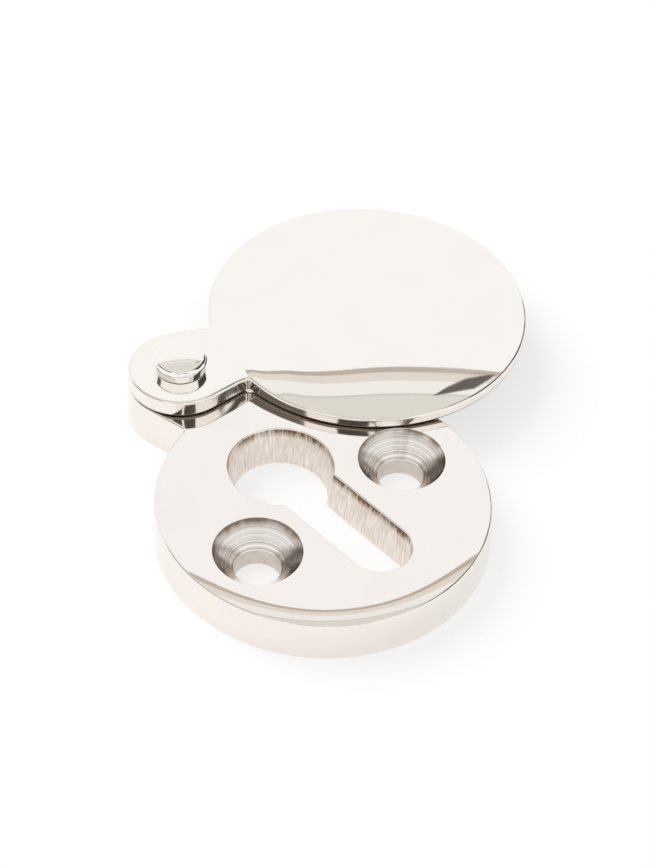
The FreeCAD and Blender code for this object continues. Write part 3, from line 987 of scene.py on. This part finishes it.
@dataclass
class Cover:
    """The domed cover with the flat ear that turns on the rivet."""

    radius: float = 15.05
    reach: float = 19.56
    rim: float = 1.05
    dome_radius: float = 127.0
    ear: float = 1.65
    ear_round: float = 0.3
    rim_round: float = 0.26
    foot_round: float = 0.22
    neck_end: float = -4.0
    neck_slope: float = 0.19
    neck_flare: float = 0.082
    neck_power: float = 4.33
    ridge: float = 0.692
    ridge_width: float = 4.666
    ridge_run: float = 9.0
    ear_from: float = -5.2
    ear_blend: float = 2.0
    edge_blend: float = 0.8
    hole: float = 1.35
    pivot: tuple[float, float, float] = (0.0, 20.45, 4.0)
    open_angle: float = 76.1

    def front(self, x: float, y: float) -> float:
        """Height of the polished front: a dome that runs through the neck into the flat ear.

        Args:
            x: Place across, from the pivot.
            y: Place along, from the pivot.

        Returns:
            The height.
        """
        away = math.hypot(x, y + self.reach)
        low = math.sqrt(self.dome_radius ** 2 - self.radius ** 2)
        dome = self.rim + math.sqrt(self.dome_radius ** 2 - min(away, self.radius) ** 2) - low
        run = max(self.neck_slope * (self.neck_end - y) + self.neck_flare * abs(x), 0.0)
        beyond = max(self.neck_end - y, 0.0) / self.ridge_run
        ridge = math.exp(-((x / self.ridge_width) ** 2) - beyond ** 2)
        share = (1.0 - self.ridge) * math.exp(-run ** self.neck_power) + self.ridge * ridge
        share += (1.0 - share) * eased((y - self.ear_from) / self.ear_blend)
        return dome + (self.ear - dome) * share

    def outer_strips(self, point: Vector) -> list[Strip]:
        """Rounded edge, upright wall and rounded foot around cover and ear; the foot takes the back's dark
        finish, painted shade in the gap over the plate.

        Args:
            point: A point of the front's rim, from the pivot.

        Returns:
            The strips below it.
        """
        away = math.hypot(point.x, point.y + self.reach)
        share = eased((away - self.radius + self.rim_round) / self.edge_blend)
        soft = self.rim_round + (self.ear_round - self.rim_round) * share
        on_dome = share < 0.01
        lean = math.degrees(math.asin(self.radius / self.dome_radius)) if on_dome else 0.0
        strips = rounding(soft, lean, 90.0, Finish.WALL)
        strips.append(Strip(0.0, self.foot_round, 90.0, 90.0, Finish.WALL))
        # The foot rounding takes the dark back finish: painted shade in the gap between cover and plate.
        return strips + rounding(self.foot_round, 90.0, 180.0, Finish.BACK)

    def hole_strips(self, point: Vector) -> list[Strip]:
        """Wall of the rivet's hole."""
        return [Strip(0.0, 0.0, 90.0, 90.0, Finish.BROACHED)]

    def build(self) -> bpy.types.Object:
        """Builds the cover in its open place."""
        piece = MirrorPiece(self.front, cell=0.5)
        outline = NeckOutline(-self.reach, self.radius, 0.0)
        outline.draw(piece.mesh, self.ear_round, self.rim_round)
        PlanTracer(piece.mesh, self.hole, 0.0).swing(0.0, 0.0, 360.0)
        piece.fill_front(Finish.FRONT)
        for rim in piece.rims():
            ys = [v.co.y for e in rim for v in e.verts]
            outer = max(ys) - min(ys) > self.radius
            piece.wall(rim, self.outer_strips if outer else self.hole_strips)
        piece.close_back(Finish.BACK)
        turn = Matrix.Rotation(math.radians(self.open_angle), 4, "Z")
        return piece.finished("polished_cover", Matrix.Translation(self.pivot) @ turn)

    def dress(self, piece: bpy.types.Object) -> None:
        """Gives the cover its finishes, in the order of Finish.

        Args:
            piece: The cover.
        """
        for finish in (
            PolishedNickel("nickel_front_of_cover", line_turn=self.open_angle),
            PolishedNickel(
                "nickel_wall_of_cover", (0.92, 0.87, 0.82), (0.88, 0.83, 0.77),
                gloss_low=0.07, gloss_high=0.13, line_depth=4.0e-7, wave_depth=1.5e-4, waves=330.0,
            ),
            BroachedNickel("nickel_in_ear"),
            # Dark colour of the back and foot: painted shade in the gap between cover and plate, also seen
            # mirrored in the plate.
            DullNickel("nickel_back_of_cover_painted_shade", (0.27, 0.22, 0.18)),
        ):
            piece.data.materials.append(finish.make())


@dataclass
class Rivet:
    """The rivet: domed head, shank, and the end spread into the recess at the back."""

    y: float = 20.45
    head_radius: float = 2.45
    head_foot: float = 2.3
    head_low: float = 5.7
    head_wall: float = 0.89
    head_round: float = 0.5
    foot_round: float = 0.05
    crown: float = 10.0
    shank: float = 1.3
    peen_radius: float = 2.1
    peen_low: float = 0.2
    peen_top: float = 1.0
    peen_round: float = 0.15
    sides: int = 96
    sharp_from: float = 35.0

    def build(self) -> bpy.types.Object:
        """Draws half of the rivet's section and spins it about its axis."""
        mesh = bmesh.new()
        mesh.verts.layers.float_vector.new("side")
        high = self.head_low + self.head_wall
        inner = self.head_radius - self.head_round
        crown_y = high - math.sqrt((self.crown - self.head_round) ** 2 - inner ** 2)
        start = math.degrees(math.atan2(high - crown_y, inner))
        peen = self.peen_radius - self.peen_round
        foot = self.head_foot - self.foot_round
        pen = PlanTracer(mesh, 0.0, self.peen_low, step=0.06)
        pen.stretch(peen, self.peen_low)
        pen.swing(peen, self.peen_low + self.peen_round, 90.0)
        pen.stretch(self.peen_radius, self.peen_top)
        pen.stretch(self.shank, self.peen_top)
        pen.stretch(self.shank, self.head_low)
        pen.stretch(foot, self.head_low)
        pen.swing(foot, self.head_low + self.foot_round, 90.0)
        pen.stretch(self.head_radius, high)
        pen.swing(inner, high, start)
        pen.swing(0.0, crown_y, 90.0 - start)
        bmesh.ops.remove_doubles(mesh, verts=mesh.verts, dist=1.0e-5)
        upright = Matrix.Rotation(math.pi / 2.0, 3, "X")
        bmesh.ops.rotate(mesh, verts=mesh.verts, cent=ORIGIN, matrix=upright)
        bmesh.ops.spin(
            mesh, geom=mesh.verts[:] + mesh.edges[:], cent=ORIGIN, axis=UP, angle=2.0 * math.pi,
            steps=self.sides, use_merge=True, use_duplicate=False,
        )
        bmesh.ops.remove_doubles(mesh, verts=mesh.verts, dist=1.0e-4)
        bmesh.ops.dissolve_degenerate(mesh, dist=1.0e-5, edges=mesh.edges)
        bmesh.ops.recalc_face_normals(mesh, faces=mesh.faces)
        bmesh.ops.translate(mesh, verts=mesh.verts, vec=(0.0, self.y, 0.0))
        bmesh.ops.scale(mesh, verts=mesh.verts, vec=(MM, MM, MM))
        for face in mesh.faces:
            face.smooth = True
        made = drawn("polished_rivet", mesh)
        made.data.set_sharp_from_angle(angle=math.radians(self.sharp_from))
        return made

    def dress(self, piece: bpy.types.Object) -> None:
        """Gives the rivet its finish."""
        finish = PolishedNickel("nickel_of_rivet", gloss_low=0.05, gloss_high=0.1)
        piece.data.materials.append(finish.make())


# The studio


Corners = tuple[tuple[float, float], ...]


@dataclass(frozen=True)
class CardStrip:
    """A strip of the canopy over the table, between two heights above the horizon, in degrees."""

    name: str
    low: float
    high: float
    colour: Colour


@dataclass(frozen=True)
class Flag:
    """A dark brown card in a direction from the part, with corners as azimuth and height in degrees."""

    name: str
    reach: float
    shade: float
    corners: Corners

    @property
    def colour(self) -> Colour:
        """Its colour, a little warmer than grey."""
        return (self.shade, self.shade * 0.88, self.shade * 0.8)


CANOPY = (
    CardStrip("canopy_rail", 51.4, 52.15, (0.54, 0.47, 0.41)),
    CardStrip("canopy_front", 52.15, 53.35, (0.8, 0.75, 0.7)),
    CardStrip("canopy_panel", 53.35, 55.1, (0.93, 0.92, 0.905)),
    CardStrip("canopy_seam", 55.1, 55.35, (0.66, 0.65, 0.61)),
    CardStrip("canopy", 55.35, 112.0, (0.76, 0.755, 0.71)),
)
FLAGS = (
    Flag("flag", 0.9, 0.14, (
        (56.3, 52.7), (57.8, 51.0), (59.8, 49.1), (61.5, 48.1),
        (63.1, 47.2), (62.6, 48.4), (61.5, 50.1), (58.5, 51.7),
    )),
    Flag("camera_stand", 0.4, 0.07, ((243.0, 39.5), (219.5, 39.5), (219.5, 50.0), (243.0, 50.0))),
    Flag("camera_side", 0.4, 0.07, ((215.5, 39.5), (190.0, 39.5), (184.0, 50.0), (215.5, 50.0))),
    Flag("screen_edge", 0.9, 0.07, (
        (108.0, 8.0), (84.0, 8.0), (82.0, 40.0), (92.0, 48.0),
        (110.0, 62.0), (143.0, 62.0), (143.0, 25.0), (112.0, 23.0),
    )),
    Flag("screen_left", 0.9, 0.14, (
        (332.0, 18.0), (310.0, 28.0), (264.0, 40.0),
        (266.0, 54.0), (300.0, 50.0), (332.0, 40.0),
    )),
    Flag("screen_side", 0.9, 0.12, ((84.0, 8.0), (74.0, 12.0), (74.0, 36.0), (84.0, 30.0))),
)


@dataclass
class Studio:
    """White table, white surroundings, the canopy that the metal mirrors, a lamp and the camera.

    Lengths are in metres, and the camera's place is in millimetres.
    """

    table_size: float = 3.0
    table_shade: float = 0.42
    table_glow: float = 0.68
    canopy_height: float = 3.0
    canopy_half: float = 2.3
    canopy_turn: float = 32.5
    fill: float = 0.5
    key: float = 1.7
    key_size: float = 0.5
    key_azimuth: float = -12.0
    key_elevation: float = 46.0
    key_reach: float = 0.6
    lens: float = 95.877
    sensor: float = 36.0
    camera_place: tuple[float, float, float] = (-97.825, -99.119, 149.48)
    camera_right: tuple[float, float, float] = (0.7384, -0.6735, 0.0339)
    camera_up: tuple[float, float, float] = (0.4552, 0.5349, 0.7118)
    camera_back: tuple[float, float, float] = (-0.4975, -0.5102, 0.7016)

    def card(self, name: str, corners: Iterable[Vector], colour: Colour) -> None:
        """Hangs a card that only the metal sees.

        Args:
            name: Its name.
            corners: Its corners, in metres.
            colour: Its colour.
        """
        mesh = bmesh.new()
        verts = [bmesh.ops.create_vert(mesh, co=c)["vert"][0] for c in corners]
        bmesh.ops.contextual_create(mesh, geom=verts)
        made = drawn(name, mesh)
        sheet = MaterialSheet(name)
        sheet.tree.nodes.remove(sheet.shader)
        glow = sheet.node("ShaderNodeEmission")
        glow.inputs["Color"].default_value = (*colour, 1.0)
        sheet.join(glow.outputs[0], sheet.tree.nodes["Material Output"].inputs["Surface"])
        made.data.materials.append(sheet.material)
        made.visible_camera = False
        made.visible_diffuse = False
        made.visible_shadow = False
        made.visible_transmission = False

    @staticmethod
    def towards(azimuth: float, elevation: float, reach: float) -> Vector:
        """A point in a direction from the table's middle.

        Args:
            azimuth: From +Y towards +X, in degrees.
            elevation: Above the horizon, in degrees.
            reach: Distance in metres.

        Returns:
            The point.
        """
        a, e = math.radians(azimuth), math.radians(elevation)
        return Vector((math.sin(a) * math.cos(e), math.cos(a) * math.cos(e), math.sin(e))) * reach

    def hang_canopy(self) -> None:
        """Hangs the canopy's strips, whose edges cross the metal as thin lines."""
        ahead = self.towards(self.canopy_turn, 0.0, 1.0)
        side = self.towards(self.canopy_turn + 90.0, 0.0, self.canopy_half)
        lift = UP * self.canopy_height
        for strip in CANOPY:
            near = ahead * (self.canopy_height / math.tan(math.radians(strip.high))) + lift
            far = ahead * (self.canopy_height / math.tan(math.radians(strip.low))) + lift
            self.card(strip.name, (near - side, far - side, far + side, near + side), strip.colour)

    def hang_flags(self) -> None:
        """Hangs the dark things that the metal shows: flags and screens, and the camera's own stand."""
        for flag in FLAGS:
            self.card(flag.name, [self.towards(a, e, flag.reach) for a, e in flag.corners], flag.colour)

    def lay_table(self) -> None:
        """Lays the white table top, whose glow only shows and gives no light."""
        mesh = bmesh.new()
        bmesh.ops.create_grid(mesh, x_segments=1, y_segments=1, size=self.table_size)
        made = drawn("table_top", mesh)
        sheet = MaterialSheet("white_table")
        sheet.shader.inputs["Base Color"].default_value = (*(self.table_shade,) * 3, 1.0)
        sheet.shader.inputs["Roughness"].default_value = 0.9
        sheet.shader.inputs["Specular IOR Level"].default_value = 0.1
        sheet.shader.inputs["Emission Color"].default_value = WHITE
        glow = sheet.math("MULTIPLY", sheet.seen(), self.table_glow)
        sheet.join(glow, sheet.shader.inputs["Emission Strength"])
        made.data.materials.append(sheet.material)

    def surround(self) -> None:
        """Makes the surroundings look white and light the part evenly."""
        world = bpy.data.worlds.new("white_surroundings")
        bpy.context.scene.world = world
        world.use_nodes = True
        world.node_tree.nodes.clear()
        sheet = NodeSheet(world.node_tree)
        lighting, white = (sheet.node("ShaderNodeBackground") for _ in range(2))
        lighting.inputs["Strength"].default_value = self.fill
        for node in (lighting, white):
            node.inputs["Color"].default_value = WHITE
        mix = sheet.node("ShaderNodeMixShader")
        for source, target in zip((sheet.seen(), lighting.outputs[0], white.outputs[0]), mix.inputs):
            sheet.join(source, target)
        sheet.join(mix.outputs[0], sheet.node("ShaderNodeOutputWorld").inputs["Surface"])

    def light(self) -> None:
        """Adds a soft lamp from behind on the left, which the metal doesn't mirror."""
        lamp = bpy.data.lights.new("soft_lamp", "AREA")
        lamp.shape = "DISK"
        lamp.size = self.key_size
        lamp.energy = self.key
        made = placed("soft_lamp", lamp)
        made.location = self.towards(self.key_azimuth, self.key_elevation, self.key_reach)
        made.rotation_mode = "QUATERNION"
        made.rotation_quaternion = (-made.location).to_track_quat("-Z", "Y")
        made.visible_glossy = False

    def aim(self) -> None:
        """Puts the camera where the photograph was taken from."""
        data = bpy.data.cameras.new("camera")
        data.lens = self.lens
        data.sensor_width = self.sensor
        data.clip_start = 0.01
        made = placed("camera", data)
        axes = Matrix((self.camera_right, self.camera_up, self.camera_back)).transposed()
        turn = axes.to_quaternion().to_matrix().to_4x4()
        made.matrix_world = Matrix.Translation(Vector(self.camera_place) * MM) @ turn
        bpy.context.scene.camera = made

    def build(self) -> None:
        """Builds the studio."""
        self.lay_table()
        self.hang_canopy()
        self.hang_flags()
        self.surround()
        self.light()
        self.aim()
        bpy.context.scene.view_settings.view_transform = "Standard"


def main() -> None:
    """Builds the pieces and the studio, in order, and reports each."""
    logging.basicConfig(level=logging.INFO, format="%(message)s")
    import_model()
    for maker, node, body, slot in (
        (Plate(), "base_plate", "base", "polished_nickel_plate"),
        (Cover(), "swing_cover", "cover", "polished_nickel_cover"),
        (Rivet(), "pivot_rivet", "base", "polished_nickel_rivet"),
    ):
        piece = maker.build()
        maker.dress(piece)
        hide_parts(node)
        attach(piece, body)
        LOG.info("%s stands for %s", piece.name, node)
    Studio().build()
    LOG.info("studio is set")


if __name__ == "__main__":
    main()
